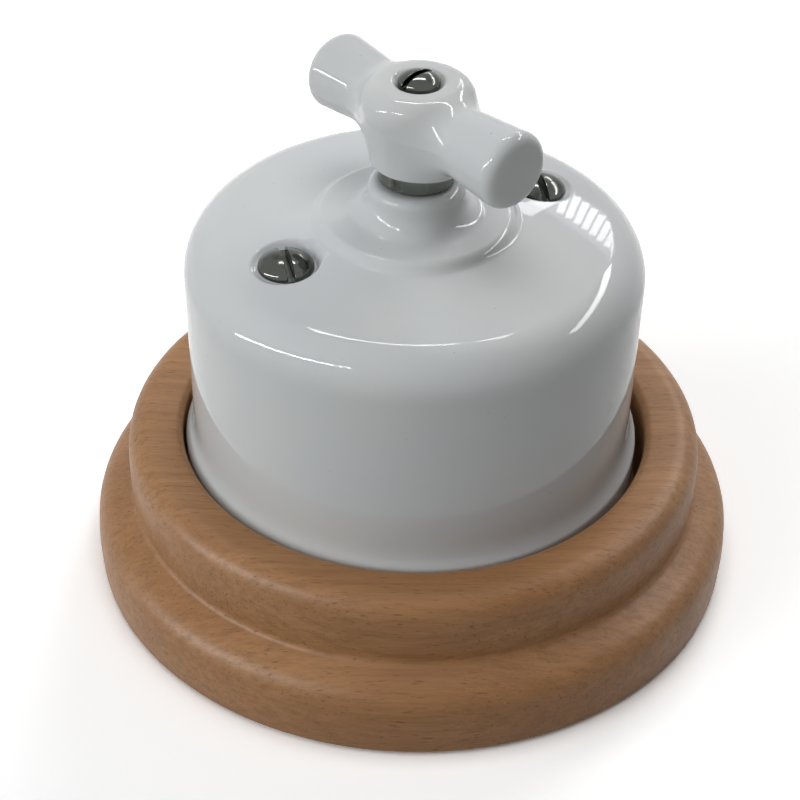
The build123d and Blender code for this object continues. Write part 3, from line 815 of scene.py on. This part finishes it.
# %% [markdown]
# ## The turn knob
#
# The knob is moulded in one piece: an upright boss, wider at the top, and two
# arms that flare towards their ends. The glaze fills the corner between them with
# a soft web, which is broad below and narrow at the top, where the boss stays round.
# Such a blend is hard to build from edges and easy to state as a distance: take how
# far a point lies outside the boss, how far outside the arms, and join the two with
# a smooth minimum. From the middle of the knob every ray leaves the shape once, so
# the surface is found by halving along all the rays of a grid at once.

# %% State the knob's sizes
knob_foot = knob_low[2]
knob_top = knob_high[2]
long_arm = knob_high[0]
short_arm = -knob_low[0]
arm_height = 6.7
arm_level = knob_foot + arm_height
boss_foot_radius = 6.6
boss_top_radius = 9.2
boss_hollow = 0.6
boss_top_round = 4.2
boss_foot_round = 0.6
boss_crown = 0.35
arm_root_radius = 3.95
arm_end_radius = 5.55
arm_end_round = 1.6
arm_end_crown = 0.35
web_blend = 4.4
web_blend_above = 0.9
recess_top_radius = 3.2
recess_bottom_radius = 2.98
recess_depth = 1.0
recess_blend = 0.9
print("knob arms", round(long_arm, 2), "and", round(short_arm, 2), "long")


# %% State the knob as a distance
def smooth_minimum(a, b, blend):
    """The smaller of a and b, less blend * h^2 / 4 where they differ by under blend."""
    h = np.clip(1 - np.abs(a - b) / blend, 0, 1)
    return np.minimum(a, b) - h * h * blend / 4


def rounded_box(across, along, radius):
    """Distance to a quarter plane with a rounded corner, from its two one-way distances."""
    a, b = across + radius, along + radius
    outside = np.hypot(np.maximum(a, 0), np.maximum(b, 0))
    return outside + np.minimum(np.maximum(a, b), 0) - radius


def boss_distance(out, z):
    """Distance to the boss, a cone that is hollowed between foot and top.

    At share s of its height its radius is foot + (top - foot) * s - 4 * hollow * s (1 - s),
    and its top falls away from the axis by crown * (r / R)^2.
    """
    share = (z - knob_foot) / (knob_top - knob_foot)
    swell = boss_foot_radius + (boss_top_radius - boss_foot_radius) * share
    swell = swell - 4 * boss_hollow * share * (1 - share)
    crowned_top = knob_top - boss_crown * (out / boss_top_radius) ** 2
    upper = rounded_box(out - swell, z - crowned_top, boss_top_round)
    lower = rounded_box(out - swell, knob_foot - z, boss_foot_round)
    return np.where(z > arm_level, upper, lower)


def arms_distance(x, y, z):
    """Distance to the arms, whose radius grows evenly with |x| and whose ends are crowned."""
    reach = np.where(x > 0, long_arm, short_arm)
    across = np.hypot(y, z - arm_level)
    flare = arm_root_radius + (arm_end_radius - arm_root_radius) * np.abs(x) / reach
    crowned_end = reach - arm_end_crown * (across / arm_end_radius) ** 2
    return rounded_box(across - flare, np.abs(x) - crowned_end, arm_end_round)


def recess_distance(out, z):
    """Distance to the screw's recess, a shallow cone that widens upwards."""
    bottom = knob_top - recess_depth
    wall_share = np.clip((z - bottom) / recess_depth, -1, 3)
    mouth = recess_bottom_radius + (recess_top_radius - recess_bottom_radius) * wall_share
    return np.maximum(out - mouth, bottom - z)


def knob_distance(x, y, z):
    """How far a point lies outside the knob, in millimetres, negative inside.

    Boss and arms meet in a smooth minimum, whose blend narrows evenly from the arms' level
    to the top. The flat foot and top cut the result, and the recess is taken out of it.
    """
    out = np.hypot(x, y)
    rise = np.clip((z - arm_level) / (knob_top - arm_level), 0, 1)
    blend = web_blend + (web_blend_above - web_blend) * rise
    solid = smooth_minimum(boss_distance(out, z), arms_distance(x, y, z), blend)
    solid = np.maximum(solid, np.maximum(knob_foot - z, z - knob_top))
    return -smooth_minimum(-solid, recess_distance(out, z), recess_blend)


# %% Find the knob's surface along rays
def along_rays(directions, middle, reach, halvings=40):
    """Where each ray from the middle leaves the shape, by halving the stretch it lies in."""
    inside = np.zeros(directions.shape[:-1])
    outside = np.full(directions.shape[:-1], reach)
    for _ in range(halvings):
        between = (inside + outside) / 2
        point = middle + between[..., None] * directions
        within = knob_distance(point[..., 0], point[..., 1], point[..., 2]) < 0
        inside = np.where(within, between, inside)
        outside = np.where(within, outside, between)
    return middle + inside[..., None] * directions


def ray_directions(tilt, turn):
    """Unit vectors at this tilt from +X and this turn round it."""
    tilt, turn = np.broadcast_arrays(tilt, turn)
    return np.stack([
        np.cos(tilt), np.sin(tilt) * np.cos(turn), np.sin(tilt) * np.sin(turn),
    ], axis=-1)


# The rows stand at even steps along an outline of the knob, not at even angles.
knob_rows = 300
knob_columns = 320
outline_turn = radians(35)
knob_middle = np.array([0.0, 0.0, arm_level])
knob_reach = 1.3 * long_arm
outline_tilt = np.linspace(0, pi, 4001)
outline = along_rays(ray_directions(outline_tilt, outline_turn), knob_middle, knob_reach)
outline_steps = np.linalg.norm(np.diff(outline, axis=0), axis=1)
travelled = np.concatenate([[0], np.cumsum(outline_steps)])
row_tilt = np.interp(np.linspace(0, travelled[-1], knob_rows), travelled, outline_tilt)
knob_rays = ray_directions(row_tilt[:, None], even_angles(knob_columns)[None, :])
knob_grid = along_rays(knob_rays, knob_middle, knob_reach)
knob_mesh = grid_mesh("turn_knob", knob_grid, turned_over=True)
print("knob from", knob_grid.min(axis=(0, 1)).round(2), "to", knob_grid.max(axis=(0, 1)).round(2))


# %% Cut the knob's socket and screw hole
def prism(outline, low, high):
    """Closed upright prism of a flat outline, from one height to another."""
    middle = outline * 0 + outline.mean(axis=0)
    rings = [(middle, low), (outline, low), (outline, high), (middle, high)]
    grid = np.stack([np.column_stack([ring, np.full(len(ring), z)]) for ring, z in rings])
    return grid_mesh("cutter", grid)


spindle_radius = 3.05
flat_half = 2.35
socket_depth = 7.8
knob_hole_radius = 1.45
socket_angles = even_angles(96)
socket_outline = np.column_stack([
    spindle_radius * np.cos(socket_angles),
    np.clip(spindle_radius * np.sin(socket_angles), -flat_half, flat_half),
])
socket_top = knob_foot + socket_depth
socket = prism(socket_outline, knob_foot - spare, socket_top)
knob_screw_hole = straight_drill(knob_hole_radius, socket_top - spare, knob_top, (0, 0), 48)
knob_mesh = cut(knob_mesh, socket, knob_screw_hole)
add_piece("glazed_knob", knob_mesh, "turning_parts", "porcelain", glazed, "turn_knob")

# %% [markdown]
# ## The collar
#
# Between the hub and the knob shows a short plated tube with a flange. It is
# turned, with small bright rounds at its two edges.

# %% Turn the collar
collar_radius = collar_high[0]
collar_foot = collar_low[2]
stem_radius = 3.9
collar_bore = 3.05
flange_height = 2.8
flange_low = knob_foot - flange_height
collar_round = 0.45
seam = (collar_bore + 0.3, collar_foot, 0.0)
collar_profile = rounded([
    seam,
    (stem_radius, collar_foot, 0.2),
    (stem_radius, flange_low, 0.15),
    (collar_radius, flange_low, collar_round),
    (collar_radius, knob_foot, collar_round),
    (collar_bore, knob_foot, 0.1),
    (collar_bore, collar_foot, 0.1),
    seam,
], steps=8)
collar_mesh = grid_mesh("knob_collar", lathe(collar_profile, even_angles(192)))
add_piece("plated_collar", collar_mesh, "turning_parts", "nickel", collar_nickel, "knob_collar")

# %% [markdown]
# ## Slotted screws
#
# A screw head is a low dome with a slot sawn across it. Sawing with a Boolean
# leaves rough edges that a bevel has to repair. Here the head is a grid from the
# start: one index runs along the slot, the other across it, and crosses the slot
# as a little path of its own, over the lip, down the wall, along the floor and up
# again. So the lips are rounded exactly and catch the light as plating does.

# %% Work out a path across a slotted head
def slot_path(half_width, lip, head_radius, side_rows=22):
    """Rows across the head: place y from rim to rim, share of the slot's depth, and lip drop.

    Outside the slot the rows lie on the dome. Over the lip they follow a quarter circle,
    then they drop down the wall and cross the floor.
    """
    quarter = np.linspace(0, pi / 2, 6)
    side_width = head_radius - half_width - lip
    side_y = half_width + lip + side_width * np.cos(np.linspace(0, pi / 2, side_rows))[:-1]
    lip_y = half_width + lip - lip * np.sin(quarter)
    lip_drop = lip * (1 - np.cos(quarter))
    wall_share = np.array([0.4, 0.8, 0.93, 1.0])
    wall_y = half_width - np.array([0.0, 0.0, 0.03, 0.12])
    floor_y = np.linspace(wall_y[-1], 0, 4)[1:-1]
    on_dome = len(side_y) + len(lip_y)
    in_slot = len(wall_y) + len(floor_y)
    y = np.concatenate([side_y, lip_y, wall_y, floor_y])
    share = np.concatenate([np.zeros(on_dome), wall_share, np.ones(len(floor_y))])
    drop = np.concatenate([np.zeros(len(side_y)), lip_drop, np.full(in_slot, lip)])
    return (
        np.concatenate([y, [0.0], -y[::-1]]),
        np.concatenate([share, [1.0], share[::-1]]),
        np.concatenate([drop, [lip], drop[::-1]]),
    )


rim_softness = 0.25
rim_drop_share = 0.8
dome_power = 0.65


def head_level(r, head_radius, edge, rise):
    """Height of the domed head: edge + rise * (1 - (r / R)^2)^power, softened at the rim."""
    inner = np.clip(1 - (r / head_radius) ** 2, 0, 1)
    level = edge + rise * inner**dome_power
    near = np.clip((r - head_radius + rim_softness) / rim_softness, 0, 1)
    return level - rim_softness * (1 - np.sqrt(1 - near**2)) * rim_drop_share


# %% Make a screw from its sizes
slot_lip = 0.10
underside_bevel = 0.12


def screw_shape(head_radius, edge, rise, slot_width, shank_radius, length, place, angle, columns=56):
    """Points and faces of a screw whose head sits at the place, its slot at this angle.

    Inside the slot the level goes from the dome's to the floor's with the share of its depth.
    """
    y, share, drop = slot_path(slot_width / 2, slot_lip, head_radius)
    slot_floor = edge * 2 / 3
    along = np.sin(np.linspace(-pi / 2, pi / 2, columns))
    x = along[None, :] * np.sqrt(np.clip(head_radius**2 - y**2, 0, None))[:, None]
    dome_height = head_level(np.hypot(x, y[:, None]), head_radius, edge, rise)
    z = (dome_height - drop[:, None]) * (1 - share[:, None]) + slot_floor * share[:, None]
    top = np.stack([x, y[:, None] + 0 * x, z], axis=-1)
    loop = np.concatenate([top[:, -1], top[::-1, 0]])
    flat = loop * [1, 1, 0]
    shank = flat * (shank_radius / head_radius)
    skirt = np.stack([
        loop, flat + [0, 0, underside_bevel], flat * 0.98, shank,
        shank - [0, 0, length], flat * 0 - [0, 0, length],
    ])
    top_faces = grid_faces(*top.shape[:2], close_columns=False)
    skirt_faces = grid_faces(*skirt.shape[:2]) + top.shape[0] * top.shape[1]
    turn = radians(angle)
    spin = np.array([[cos(turn), -sin(turn), 0], [sin(turn), cos(turn), 0], [0, 0, 1]])
    points = np.concatenate([top.reshape(-1, 3), skirt.reshape(-1, 3)]) @ spin.T + np.array(place)
    return points, np.concatenate([top_faces, skirt_faces])


def add_screws(name, body, replaced, screws):
    """Join screws into one piece, with the outside of every face outwards."""
    points, faces, start = [], [], 0
    for screw_points, screw_faces in screws:
        points.append(screw_points)
        faces.append(screw_faces + start)
        start += len(screw_points)
    mesh = mesh_of(name, np.concatenate(points), np.concatenate(faces), turn_outwards=True)
    add_piece(name, mesh, body, "nickel", nickel, replaced)


# %% Place the three screws that show
cover_screw = {
    "head_radius": 3.9, "edge": 0.45, "rise": 1.75, "slot_width": 1.1,
    "shank_radius": 1.95, "length": 18.0, "angle": 151.8,
}
knob_screw = {
    "head_radius": 2.9, "edge": 0.95, "rise": 1.25, "slot_width": 0.85,
    "shank_radius": 1.2, "length": 12.1, "angle": 91.0,
}
add_screws("cover_screw_pair", "switch_body", "cover_screws", [
    screw_shape(**cover_screw, place=(*where, well_floor)) for where in well_places
])
add_screws("centre_screw", "turning_parts", "knob_screw", [
    screw_shape(**knob_screw, place=(0, 0, knob_top - recess_depth)),
])

# %% [markdown]
# ## Floor and background
#
# The background is white and the object keeps a soft shadow. The floor is a
# plain pale disc. Seen by the camera, or mirrored in glaze and metal, it is white,
# while the light that it sends up on the object is that of a plain grey table, so
# the white floor doesn't wash out the modelling of the cover's wall. The world
# does the same: it is white to look at, and lights the object only a little.

# %% Make the floor and the world
floor_shown = (1.4, 1.4, 1.4, 1.0)
floor_lit = (0.42, 0.42, 0.41, 1.0)
floor_radius = 420.0
soft_level = 0.10


def floor_finish():
    """Pale floor that keeps shadows."""
    ground = Finish("pale_floor")
    tone = ground.mix(ground.seen(), floor_lit, floor_shown)
    ground.show(ground.node("BsdfDiffuse", {}, {"Color": tone}))
    return ground.made


def studio_world():
    """White where the world is seen or mirrored, and a soft grey light on the object."""
    world = Finish("studio", "worlds")
    level = world.node("MapRange", {}, {"Value": world.seen(), "To Min": soft_level, "To Max": 1.0})
    background = world.node("Background", {}, {"Color": (1, 1, 1, 1), "Strength": level})
    world.show(background, "World")
    return world.made


floor_rings = np.array([[0.0, 0.0], [floor_radius, 0.0]])
floor = new_object("floor", grid_mesh("floor", lathe(floor_rings, even_angles(96)), turned_over=True))
floor.data.materials.append(floor_finish())
bpy.context.scene.world = studio_world()

# %% [markdown]
# ## Lamps
#
# Two kinds of lamp share the work. The first only lights and is never mirrored: a soft
# window low on the left lights the wall of the cover from that side and lets its front
# fall into grey, and others hang overhead, in front and behind. Glaze is shown by what
# it mirrors, though. So the second kind, the gleams, is only mirrored, and each
# hangs where a gleam in the photograph comes from. Keeping the two apart lets the
# shading and the reflections be set one after the other.

# %% Helpers for lamps
lamp_aim = Vector((0.0, 0.0, 0.045))
level_towards = Vector((sin(camera_side), -cos(camera_side), 0))


def bearing(side, height, distance):
    """Point in metres at so many degrees to the right of the camera and above level."""
    side, height = radians(side), radians(height)
    level = level_right * sin(side) + level_towards * cos(side)
    return lamp_aim + distance * (level * cos(height) + Vector((0, 0, sin(height))))


def under_ceiling(right, towards, up):
    """Point in metres to the right of the switch, towards the camera and up."""
    return lamp_aim + level_right * right + level_towards * towards + Vector((0, 0, up))


def lamp(name, start, end, width, power, tint=(1.0, 1.0, 1.0), only_mirrored=False):
    """Area lamp whose middle line runs from start to end, facing the switch.

    It lights what it falls on without being mirrored, or it is only mirrored in gloss.
    """
    data = bpy.data.lights.new(name, "AREA")
    data.shape = "RECTANGLE"
    data.size, data.size_y = (end - start).length, width
    data.energy = power
    data.color = tint
    middle = (start + end) / 2
    away = (middle - lamp_aim).normalized()
    along = (end - start - away * away.dot(end - start)).normalized()
    hung = new_object(name, data)
    hung.matrix_world = placed_at(middle, along, away.cross(along), away)
    hung.visible_glossy = only_mirrored
    hung.visible_diffuse = not only_mirrored


def gleam(name, start, end, width, brightness):
    """Lamp that is only mirrored, with power pi * brightness * area."""
    power = pi * brightness * (end - start).length * width
    lamp(name, start, end, width, power, only_mirrored=True)


def lamp_count():
    """How many lamps the scene has so far."""
    return sum(thing.type == "LIGHT" for thing in bpy.context.scene.objects)


# %% Hang the lamps that light
cool = (0.95, 0.98, 1.0)
warm = (1.0, 0.96, 0.88)
lamp("left_window", bearing(-92, 18, 1.3), bearing(-44, 18, 1.3), 0.6, 6.8, cool)
lamp("overhead", under_ceiling(-0.45, 0, 1.3), under_ceiling(0.45, 0, 1.3), 0.9, 6.8)
lamp("front_left", bearing(-50, 24, 1.5), bearing(-15, 24, 1.5), 0.4, 1.7)
lamp("front_right", bearing(25, 12, 1.5), bearing(60, 12, 1.5), 0.4, 0.5, warm)
lamp("back_window", bearing(172, 28, 1.5), bearing(140, 26, 1.5), 0.4, 9.0)
print("lamps that light:", lamp_count())

# %% [markdown]
# ## Gleams
#
# Two thin lines of light under the ceiling, one before and one behind the switch, draw
# the two fine lines along the edge of the dome. A row of narrow panes behind it on the
# right makes the striped gleam, with a broader pane at one end of it. A wide faint lamp
# behind the panes stands for the sky between them. The long pane beside the row makes
# the bright line that runs on from it.

# %% Hang the gleams
panes = 11
first_side, side_step = 165.2, -1.12
first_low, low_step = 20.4, 0.93
first_high, high_step = 27.2, 0.66
pane_lean = 0.5
pane_width = 0.017
pane_brightness = 8.0
window_distance = 1.5

gleam("front_line", under_ceiling(-3.2, 0.86, 0.9), under_ceiling(-0.5, 0.9, 0.9), 0.09, 60.0)
gleam("back_line", under_ceiling(-0.27, -0.43, 0.9), under_ceiling(0.25, -0.445, 0.9), 0.075, 26.0)
gleam("window_end", bearing(169.2, 33.5, 1.5), bearing(166.4, 23.5, 1.5), 0.05, 6.5)
for pane in range(panes):
    side = first_side + side_step * pane
    foot_end = bearing(side + pane_lean, first_low + low_step * pane, window_distance)
    head_end = bearing(side - pane_lean, first_high + high_step * pane, window_distance)
    gleam(f"window_{pane}", foot_end, head_end, pane_width, pane_brightness)
gleam("window_sky", bearing(166, 24, 1.6), bearing(153, 31.5, 1.6), 0.17, 1.8)
gleam("long_pane", bearing(151, 34.5, 1.5), bearing(93, 37.2, 1.5), 0.12, 18.0)

bpy.context.scene.view_settings.view_transform = "Standard"
print("lamps and gleams:", lamp_count())
